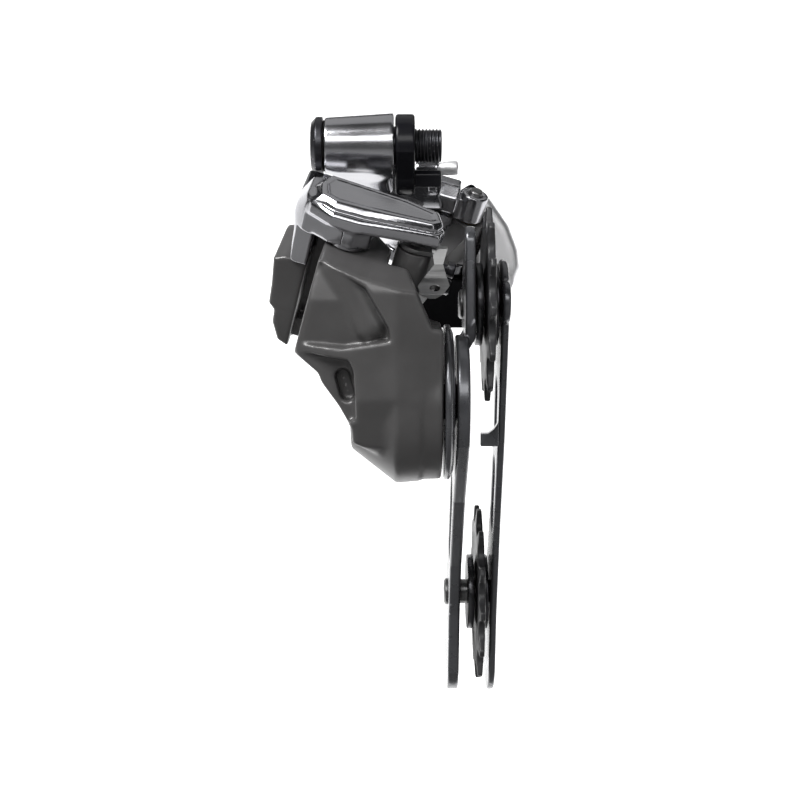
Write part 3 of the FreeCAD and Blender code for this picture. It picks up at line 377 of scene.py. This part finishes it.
def make_housing():
    """The lower knuckle: a faceted casting that runs into the drum round the cage's axle."""
    space = Space((-43, -43, -95.5), (8, 5.5, -17), 0.5)
    x, y, z = space.row
    v, u, a = space.link
    face, turn_in, band = 7.4, -5.3, 1.4
    front = outline(x, z, [(-30, -18), (-8, -24), (-3.4, -31.5), (4.4, -49.6), (9, -50.6), (9, -88),
                           (-5, -88), (-17.2, -81), (-17.6, -76.5), (-20.8, -70.8), (-25.4, -64.4),
                           (-26.4, -61.8), (-29.6, -59), (-34, -55.4), (-38, -48), (-38, -40)])
    side = outline(y, z, [(-36, -22), (-41.6, -40), (-41.6, -68), (-36, -82), (-22, -94), (4, -90),
                          (4.4, -66), (-2, -56), (-10, -46), (-12, -20)])
    plan = outline(x, y, [(-42, -25), (-38, -32.5), (-24, -40.5), (-6, -44), (9, -44), (9, 6), (-6, 6),
                          (-18, -3), (-34, -8), (-42, -15)])
    slope = (-41.6 - y + 0.27 * np.clip(x - turn_in, 0, None)) * 0.966
    horn = smax(smax(smax(front, side, 1.6), plan, 1.6), slope, 0.5)
    reach = np.hypot(y - CAGE_AXIS[0], z - CAGE_AXIS[1])
    radius = np.interp(x, (-18, turn_in, band, band + 0.3, face), (13.0, 22.9, 22.3, 21.9, 21.7))
    barrel = smax(reach - radius, slab(x, -18, face), 0.5)
    shell = smax(smin(horn, barrel, 0.8), x - face, 0.5)
    panel = outline(x, z, [(-24.6, -32.0), (-13.4, -38.8), (-7.2, -49.6), (-6.9, -52.6), (-19.1, -54.6),
                           (-34, -53.4), (-34, -36)])
    panel_floor = -38.2 + 0.16 * np.abs(z + 42.5)
    recess = smax(panel, y - panel_floor, 0.8)
    shell = smax(shell, -recess, 0.4)
    bump = limb(space.row, (-20.2, -33.6, -33.0, 5.6), (-12.4, -34.6, -49.0, 5.0))
    shell = smin(shell, smax(bump, z + 30, 1.0), 0.7)
    low_panel = smax(outline(x, z, [(-27.6, -56.4), (-17.9, -58.0), (-16.6, -61), (-16.2, -74), (-40, -84),
                                    (-40, -56)]), y + 36.2, 1.2)
    shell = smax(shell, -low_panel, 0.8)
    oval = smax(strap(x, z, (-19.7, -62.6, 2.0), (-18.4, -67.4, 2.0)), y + 32.5, 0.8)
    shell = smax(shell, -oval, 0.7)
    sweep = smax(outline(v, u, [(1.6, -41.2), (1.6, -33), (-7, -22), (-7, 30), (50, 30), (50, -41.2)]),
                 slab(a, -37.3, 60), 0.4)
    outboard = smax(v + 16.6, -58.4 - a, 0.5)
    behind = smax(-27 - u, -46.6 - a, 0.5)
    spring_room = smax(reach - 17.0, slab(x, -8, 20), 0.3)
    axle_room = smax(reach - 6.4, slab(x, -15.5, 20), 0.3)
    shell = cut(shell, [-17.0 - a, outboard, behind, sweep, spring_room, axle_room,
                        pin(space.link, P_OUTER, -36, 0, PIN_RAD), pin(space.link, P_INNER, -46, 0, PIN_RAD)])
    cast_piece("knuckle_casting", space, soften(shell, 1), "lower_knuckle", "lower_knuckle")


def make_cover():
    """The plated roof over the links, with its rounded shoulder and a stepped rim round the top facet."""
    space = Space((-29.5, -44, -29), (15, -9, -3.5), 0.35, links=True)
    v, u, a = space.link
    plan = outline(v, u, [(-21.0, -24), (1.9, -26), (12.0, -29.0), (14.2, -35), (13.2, -38.8), (4, -40.5),
                          (-8, -43.0), (-16, -43.0), (-22.6, -38.6), (-23.2, -31)])
    top = outline(v, u, [(-19.5, -25), (1.9, -27), (11.2, -30.0), (12.6, -35), (10.4, -37.6), (4, -38.4),
                         (-8, -39.6), (-16, -39.8), (-20.2, -37.6), (-21.4, -31)])
    lean = np.clip((a + 7.4) / 3.4, 0, 1)
    side = plan * (1 - lean) + top * lean
    roof = smax(side, slab(a, -10.2, -4.0), 0.5)
    roof = smax(roof, -smax(top + 1.7, -4.35 - a, 0.25), 0.2)
    groove = smax(np.abs(side + 0.15) - 0.45, np.abs(a + 6.2) - 0.3, 0.3)
    roof = smax(roof, -groove, 0.25)
    wrap_plan = outline(v, u, [(-28.8, -26), (-27.6, -32), (-24.0, -37.0), (-16.5, -41.4), (-9.5, -42.8),
                               (-4.6, -40.0), (-4.0, -35), (-6.5, -30), (-16.2, -28), (-16.2, -8),
                               (-28.8, -8)])
    wrap_front = outline(v, a, [(-20.6, -5.4), (-24.4, -6.4), (-27.2, -11.5), (-27.6, -14), (-26.2, -19),
                                (-25.6, -28.2), (-20.4, -28.2), (-20.4, -16.7), (-17, -16.5), (-3, -16.5),
                                (-3, -9.0), (-18, -8.0)])
    wrap = smax(soften(smax(wrap_plan, wrap_front, 2.0), 3), u + 10, 0.8)
    shell = smin(roof, wrap, 1.2)
    swing_room = smax(u + 34.8, a + 16.55, 0.4)
    arm_room = smax(-23.9 - u, -11.2 - a, 0.4)
    slot_room = smax(-20.4 - v, a + 16.5, 0.3)
    boss_room = pin(space.link, P_OUTER, -20, -10.8, 5.5)
    cast_piece("cover_shell", space, cut(shell, [swing_room, arm_room, slot_room, boss_room]), "outer_link",
               "link_cover")


def make_guard():
    """The outboard block below the shoulder: a stepped foot, the flange behind its slot, and a web below."""
    space = Space((-30.5, -34, -58.5), (-11.5, -9, -17.5), 0.35, links=True)
    v, u, a = space.link
    x, y, z = space.row
    view = outline(v, a, [(-26.7, -28.3), (-29.8, -29.8), (-28.8, -38), (-28.4, -44.4), (-26.6, -46.2),
                          (-26.3, -50.3), (-23.8, -55.6), (-20.4, -57.0), (-20.4, -28.3)])
    side = outline(y, z, [(-22.5, -22), (-24, -32), (-23, -46), (-12, -58), (-6, -64), (12, -60), (12, -50),
                          (9, -22)])
    block = smax(smax(view, side, 1.4), slab(u, -33, -10), 1.0)
    upper = smax(block, -44.6 - a, 0.4)
    foot = smax(block, side + 1.3, 0.5)
    block = soften(smin(upper, foot, 0.3), 1)
    flange = smin(box(space.link, (-21, -22, -45.5), (-12.2, -13, -28.4)),
                  box(space.link, (-20.2, -22, -28.6), (-12.2, -13, -18)), 0.2)
    web = smin(box(space.link, (-21, -22, -51), (-16.9, -18, -45)),
               box(space.link, (-21, -27, -56.4), (-16.9, -14, -50.4)), 0.2)
    block = smin(smin(block, flange, 0.4), web, 0.4)
    cast_piece("guard_casting", space, block, "outer_link", "link_guard")


def make_knuckle():
    """The upper knuckle: a tapered barrel on the hanger bolt, an arm, and the ears for the link pins."""
    space = Space((-26.6, -10, -43), (30, 42.2, 9.8), 0.4)
    x, y, z = space.row
    v, u, a = space.link
    barrel = smax(np.hypot(y, z) - 8.1 - (x + 26) * 0.065, slab(x, -26.0, -6.0), 0.5)
    stations = (-3, 9, 16, 22, 27)
    across = np.abs(x - np.interp(y, stations, (-16, -13.5, -5, 1.5, 1.5)))
    upright = np.abs(z - np.interp(y, stations, (-4, -8.2, -13.5, -14, -16.2)))
    arm = smax(across - np.interp(y, stations, (8, 6.8, 7.8, 7.5, 7.5)),
               upright - np.interp(y, stations, (3, 6.2, 5, 4.7, 4.2)), 3.0)
    arm = smax(arm, slab(y, -3, 27), 0.6)
    wide, high = np.abs(u - 19), np.abs(a + 21.4)
    bar = smax(np.maximum(np.maximum(wide, high), 0.7071 * (wide + high)) - 5.6, slab(v, -3, 17), 0.8)
    cap = pin(space.link, B_INNER, -27, -18.2, 4.2, 0.6)
    web = box(space.link, (16, 17, -27), (22, 24, -20))
    wall = box(space.link, (-3, 21, -45.4), (26, 29.5, -24), 1.0)
    lower_ear = smax(strap(v, u, (*B_OUTER, 5), (*B_INNER, 5)), slab(a, -45.4, -41.2), 0.5)
    lug_up = z + 6.4 - 0.07 * x
    lug = smax(np.hypot(y - 20, lug_up) - 3.4, slab(x, 0.5, 7.3), 0.5)
    foot = box(space.row, (0.5, 17.5, -13), (7, 23, -7))
    body = joined([smin(barrel, arm, 2.2), bar, cap, web, wall, lower_ear, lug, foot], 0.7)
    bore = smax(np.hypot(y, z) - 7.0, slab(x, -40, 1), 0.2)
    plate_room = box(space.row, (-6, -12, -16), (12, 9.4, 12), 0.3)
    link_room = box(space.link, (-8, 4, -41.2), (30, 25.4, -27.4), 0.05)
    screw_hole = smax(np.hypot(y - 20, lug_up) - 2.0, slab(x, -10, 20), 0.2)
    gear_room = pin(space.link, B_INNER, -41.2, -36, 6.6)
    tools = [bore, plate_room, link_room, screw_hole, gear_room, 41.6 - y,
             pin(space.link, B_OUTER, -60, -15, PIN_RAD), pin(space.link, B_INNER, -60, -15, PIN_RAD)]
    cast_piece("upper_knuckle_casting", space, cut(body, tools), "upper_knuckle", "upper_knuckle")


def rear_hole(place, at, start, radius):
    """A round hole into the drive's back face."""
    return smax(np.hypot(place[0] - at[0], place[2] - at[1]) - radius, slab(place[1], start, 60), 0.2)


def make_drive():
    """The drive's polished shell, crowned at the back."""
    space = Space((-2.2, 30.4, -56.8), (34.6, 49.6, -9.2), 0.35)
    x, y, z = space.row
    shell = outline(x, z, [(7, -20), (12.5, -13.5), (18.4, -9.8), (24.3, -14.9), (30.2, -23.2), (33.2, -31),
                           (33.8, -36.5), (31.8, -42), (28.6, -48.5), (26, -56), (2.5, -56), (-1.5, -50),
                           (-1, -33), (5, -30)])
    shell = soften(smax(soften(shell + 0 * y, 3), slab(y, 31, 49), 3.6), 1)
    knuckle_room = smax(box(space.link, (-6, 0, -45.5), (26.1, 29.6, -10), 0.3), y - 41.7, 0.3)
    sweep = np.hypot(y - CAGE_AXIS[0], z - CAGE_AXIS[1]) - 59.5
    tools = [knuckle_room, sweep, pin(space.link, B_INNER, -41.4, -26, 6.6),
             pin(space.link, (30.5, 20.9), -46, -36, 3.2),
             rear_hole(space.row, (14, -33), 45.6, 3.05), rear_hole(space.row, (24, -32), 41.8, 3.4),
             rear_hole(space.row, (19, -27), 48.0, 1.0)]
    cast_piece("drive_shell", space, cut(shell, tools), "upper_knuckle", "drive_housing")


make_housing()
make_cover()
make_guard()
make_knuckle()
make_drive()


# ---------------------------------------------------------------- cage

def along_cage(distance, aside):
    """A place on the cage, measured down from its pivot towards the tension pulley and aside."""
    run = np.array(TENSION) - np.array(CAGE_AXIS)
    down = run / np.hypot(*run)
    return (CAGE_AXIS[0] + down[0] * distance - down[1] * aside,
            CAGE_AXIS[1] + down[1] * distance + down[0] * aside)


TIP = along_cage(104.6, -4)


def round_hole(y, z, at, radius):
    """A round bar along X, as a tool for a hole through a plate."""
    return np.hypot(y - at[0], z - at[1]) - radius


def make_outer_plate():
    """The outboard plate: a long lower part, and an arm stepped inboard to the guide pulley."""
    space = Space((10.7, -38, -179.5), (17.4, 58, -21.5), 0.3)
    x, y, z = space.row
    lower = chain(y, z, [(*CAGE_AXIS, 19.0), (*along_cage(30, -1), 10.5), (*along_cage(62, 0), 8.5),
                         (*TENSION, 12.0), (*TIP, 16.5)])
    lower = smax(lower, slab(x, 11.2, 14.8), 0.9)
    arm = chain(y, z, [(-16.6, -50.5, 4.6), (-13.5, -27.5, 4.6), (*GUIDE, 8.0), (-16.6, -50.5, 4.6)])
    arm = smax(arm, slab(x, 13.9, 16.9), 0.9)
    share = np.clip((x - 11.3) / 5.5, 0, 1)
    step = smax(slab(y, -21.2, -4 - 2 * share), slab(z, -63 + 9 * share, -57 + 8.6 * share), 0.6)
    step = smax(step, slab(x, 11.3, 16.8), 0.4)
    window = strap(y, z, (*along_cage(36, 0), 5.5), (*along_cage(62, 0), 4.0))
    tools = [window, round_hole(y, z, CAGE_AXIS, 7.15)]
    tools += [round_hole(y, z, at, 2.5) for at in (GUIDE, TENSION)]
    cast_piece("outer_plate", space, cut(joined([lower, arm, step], 0.5), tools, 0.8), "cage",
               "outer_cage_plate")


def make_inner_plate():
    """The flat inboard plate, with two windows."""
    space = Space((23.9, -24, -179.5), (27.1, 58, -31), 0.3)
    x, y, z = space.row
    plate = chain(y, z, [(-16.5, -44, 6.0), (*GUIDE, 13.0), (3.5, -82, 9.5), (16, -112, 8.5),
                         (*TENSION, 12.0), (*TIP, 16.5)])
    plate = smax(plate, slab(x, 24.4, 26.6), 0.9)
    tools = [strap(y, z, (2.5, -72, 4.5), (5, -84, 4.5)), strap(y, z, (9.5, -97, 4.5), (16.5, -113, 4.5))]
    tools += [round_hole(y, z, at, 2.5) for at in (GUIDE, TENSION)]
    cast_piece("inner_plate", space, cut(plate, tools, 0.8), "cage", "inner_cage_plate")


def make_pulley(name, centre, node):
    """A toothed wheel: each point is turned to its nearest tooth gap, so one gap is drawn for all."""
    teeth, tip, pitch, seat, middle = 13, 28.2, 26.53, 4.1, 21.1
    reach = tip + 0.6
    low, high = (19.6, centre[0] - reach, centre[1] - reach), (22.6, centre[0] + reach, centre[1] + reach)
    space = Space(low, high, 0.28)
    x, y, z = space.row
    radius, angle = np.hypot(y - centre[0], z - centre[1]), np.arctan2(z - centre[1], y - centre[0])
    turn = 2 * math.pi / teeth
    folded = angle - turn * np.round(angle / turn)
    out, aside = radius * np.cos(folded), np.abs(radius * np.sin(folded))
    mouth = np.maximum((aside - 3.75 - (out - 24.86) * 0.634) * 0.845, 24.86 - out)
    gap = np.minimum(np.hypot(out - pitch, aside) - seat, mouth)
    dish = 0.45 * np.clip((5.5 - np.abs(radius - 14.5)) / 2, 0, 1)
    half = 1.1 - 0.07 * np.clip(radius - 23.5, 0, None) - dish
    wheel = smax(smax(radius - tip, -gap, 0.5), np.abs(x - middle) - half, 0.4)
    cast_piece(name, space, cut(wheel, [radius - 4.0], 0.3), node, node)


make_outer_plate()
make_inner_plate()
make_pulley("guide_wheel", GUIDE, "guide_pulley")
make_pulley("tension_wheel", TENSION, "tension_pulley")


# ---------------------------------------------------------------- small pieces

def make_bolt():
    """The hanger bolt: chamfered head with a hexagon socket, and a cut M10 x 1 thread."""
    space = Space((-30.2, -8.7, -8.7), (8.0, 8.7, 8.7), 0.17)
    x, y, z = space.row
    radius, angle = np.hypot(y, z), np.arctan2(z, y)
    head = smax(radius - 8.3, slab(x, -29.9, -26.5), 0.3)
    head = smax(head, (radius - x * 1.07 - 38.7) * 0.68, 0.25)
    shank = smax(radius - 5.6, slab(x, -27, 0), 0.2)
    wave = np.abs(((x - angle / (2 * math.pi)) % 1.0) - 0.5) * 2
    thread = smax(radius - 5.0 + 0.6 * (1 - wave), slab(x, -0.2, 7.7), 0.1)
    thread = smax(thread, (radius - 5.0 + (x - 7.1)) * 0.7071, 0.1)
    bolt = np.minimum(np.minimum(head, shank), thread)
    flats = [np.abs(y * math.cos(t) + z * math.sin(t)) - 2.5 for t in (0.0, math.pi / 3, 2 * math.pi / 3)]
    socket = np.maximum(np.maximum(flats[0], flats[1]), np.maximum(flats[2], x + 23.9))
    cast_piece("axle_bolt", space, cut(bolt, [socket], 0.15), "mount", "hanger_bolt")


def make_stop_plate():
    """The plate against the hanger, with the tab that stops on the frame."""
    space = Space((-6.2, -9.8, -14.6), (8.2, 9.8, 9.7), 0.25)
    x, y, z = space.row
    plate = smax(strap(y, z, (0, 0, 9.1), (2.0, -8.2, 5.8)), slab(x, -5.7, 0), 1.0)
    tab = smax(outline(y, z, [(-2, -11.7), (6, -11.7), (6, -8.1), (5, -6.9), (-1, -6.9), (-2, -8.1)]),
               slab(x, -1.0, 7.7), 0.8)
    cast_piece("stop_plate_forging", space, cut(smin(plate, tab, 0.5), [np.hypot(y, z) - 5.7], 0.3), "mount",
               "stop_plate")


make_bolt()
make_stop_plate()


# ---------------------------------------------------------------- the rest of the CAD nodes

def dress_node(name, slot_name, bevel=0.25):
    """Gives a CAD node its material and rounds its sharp edges."""
    node = nodes[name]
    node.data.materials.clear()
    node.data.materials.append(MATERIALS[slot_name])
    weld = node.modifiers.new("weld", "WELD")
    weld.merge_threshold = 0.00001
    edge = node.modifiers.new("edges", "BEVEL")
    edge.width = bevel * MM
    edge.segments = 2
    edge.limit_method = "ANGLE"
    edge.angle_limit = math.radians(35)
    edge.harden_normals = True


for node_name, node_slot in slot_of.items():
    dress_node(node_name, node_slot)


# ---------------------------------------------------------------- studio

def glow_behind(tree):
    """Lights the sweep behind the part and leaves the floor in front of it a dim grey."""
    glow_from, glow_full, strength, dim_grey = 0.035, 0.055, 0.9, 0.22
    shader = tree.nodes["Principled BSDF"]
    shader.inputs["Emission Color"].default_value = (1, 1, 1, 1)
    place = tree.nodes.new("ShaderNodeTexCoord")
    depth = tree.nodes.new("ShaderNodeSeparateXYZ")
    glow = add_node(tree, "ShaderNodeMapRange", From_Min=glow_from, From_Max=glow_full, To_Min=0.0,
                    To_Max=strength)
    tree.links.new(place.outputs["Object"], depth.inputs["Vector"])
    tree.links.new(depth.outputs["Y"], glow.inputs["Value"])
    tree.links.new(glow.outputs["Result"], shader.inputs["Emission Strength"])
    shade = add_node(tree, "ShaderNodeMix", data_type="RGBA")
    shade.inputs[MIX_FIRST].default_value = (dim_grey, dim_grey, dim_grey, 1)
    tree.links.new(glow.outputs["Result"], shade.inputs["Factor"])
    tree.links.new(shader.inputs["Base Color"].links[0].from_socket, shade.inputs[MIX_SECOND])
    tree.links.new(shade.outputs[MIX_RESULT], shader.inputs["Base Color"])


def make_studio():
    """A floor below the part that bends up behind it."""
    front, bend_from, back, rise, bend, half_width = -2.2, 0.6, 1.1, 0.8, 0.5, 2.4
    floor = cad_box[0][2] - 0.05
    turns = np.linspace(0.15, math.pi / 2, 10)
    profile = [(front, 0.0), (bend_from, 0.0)]
    profile += [(bend_from + bend * math.sin(turn), bend - bend * math.cos(turn)) for turn in turns]
    profile += [(back, rise)]
    mesh = bpy.data.meshes.new("studio_sweep")
    points = [(side * half_width, y, floor + z) for y, z in profile for side in (-1, 1)]
    faces = [(2 * k, 2 * k + 1, 2 * k + 3, 2 * k + 2) for k in range(len(profile) - 1)]
    mesh.from_pydata(points, [], faces)
    mesh.polygons.foreach_set("use_smooth", [True] * len(faces))
    sweep = bpy.data.objects.new("studio_sweep", mesh)
    bpy.context.scene.collection.objects.link(sweep)
    paper = finish("studio_paper", (0.9, 0.9, 0.9), 0.0, 0.85, tint=0.005, grain=60.0)
    glow_behind(paper.node_tree)
    mesh.materials.append(paper)


def add_softbox(name, place, aim, size, power):
    """A rectangular light that faces the point aimed at."""
    data = bpy.data.lights.new(name, "AREA")
    data.shape = "RECTANGLE"
    data.size, data.size_y = size
    data.energy = power
    light = bpy.data.objects.new(name, data)
    bpy.context.scene.collection.objects.link(light)
    light.location = place
    light.rotation_euler = (Vector(aim) - Vector(place)).to_track_quat("-Z", "Y").to_euler()


def make_lights():
    centre = (0, 0, -0.06)
    add_softbox("key", (-0.5, -0.46, 0.66), centre, (0.5, 0.4), 12.0)
    add_softbox("band", (0.0, -0.76, 0.36), centre, (0.8, 0.24), 2.6)
    add_softbox("top", (0.1, 0.35, 0.95), centre, (1.4, 0.9), 1.8)
    add_softbox("front_fill", (-0.5, -1.2, 0.15), centre, (0.9, 0.8), 0.2)
    add_softbox("right_strip", (0.75, -0.75, 0.15), centre, (0.1, 0.9), 0.7)
    add_softbox("left_strip", (-0.95, 0.0, 0.0), centre, (0.25, 1.0), 0.4)
    world = bpy.data.worlds.new("studio")
    bpy.context.scene.world = world
    world.use_nodes = True
    world.node_tree.nodes["Background"].inputs["Color"].default_value = (0.9, 0.93, 1.0, 1)
    world.node_tree.nodes["Background"].inputs["Strength"].default_value = 0.02


def make_camera():
    data = bpy.data.cameras.new("camera")
    data.sensor_width = 36.0
    data.lens = 59.175
    data.clip_start = 0.01
    camera = bpy.data.objects.new("camera", data)
    bpy.context.scene.collection.objects.link(camera)
    camera.location = (-0.0043, -0.3865, -0.0198)
    camera.rotation_euler = (math.radians(82), 0, 0)
    bpy.context.scene.camera = camera


make_studio()
make_lights()
make_camera()
bpy.context.scene.view_settings.view_transform = "Standard"
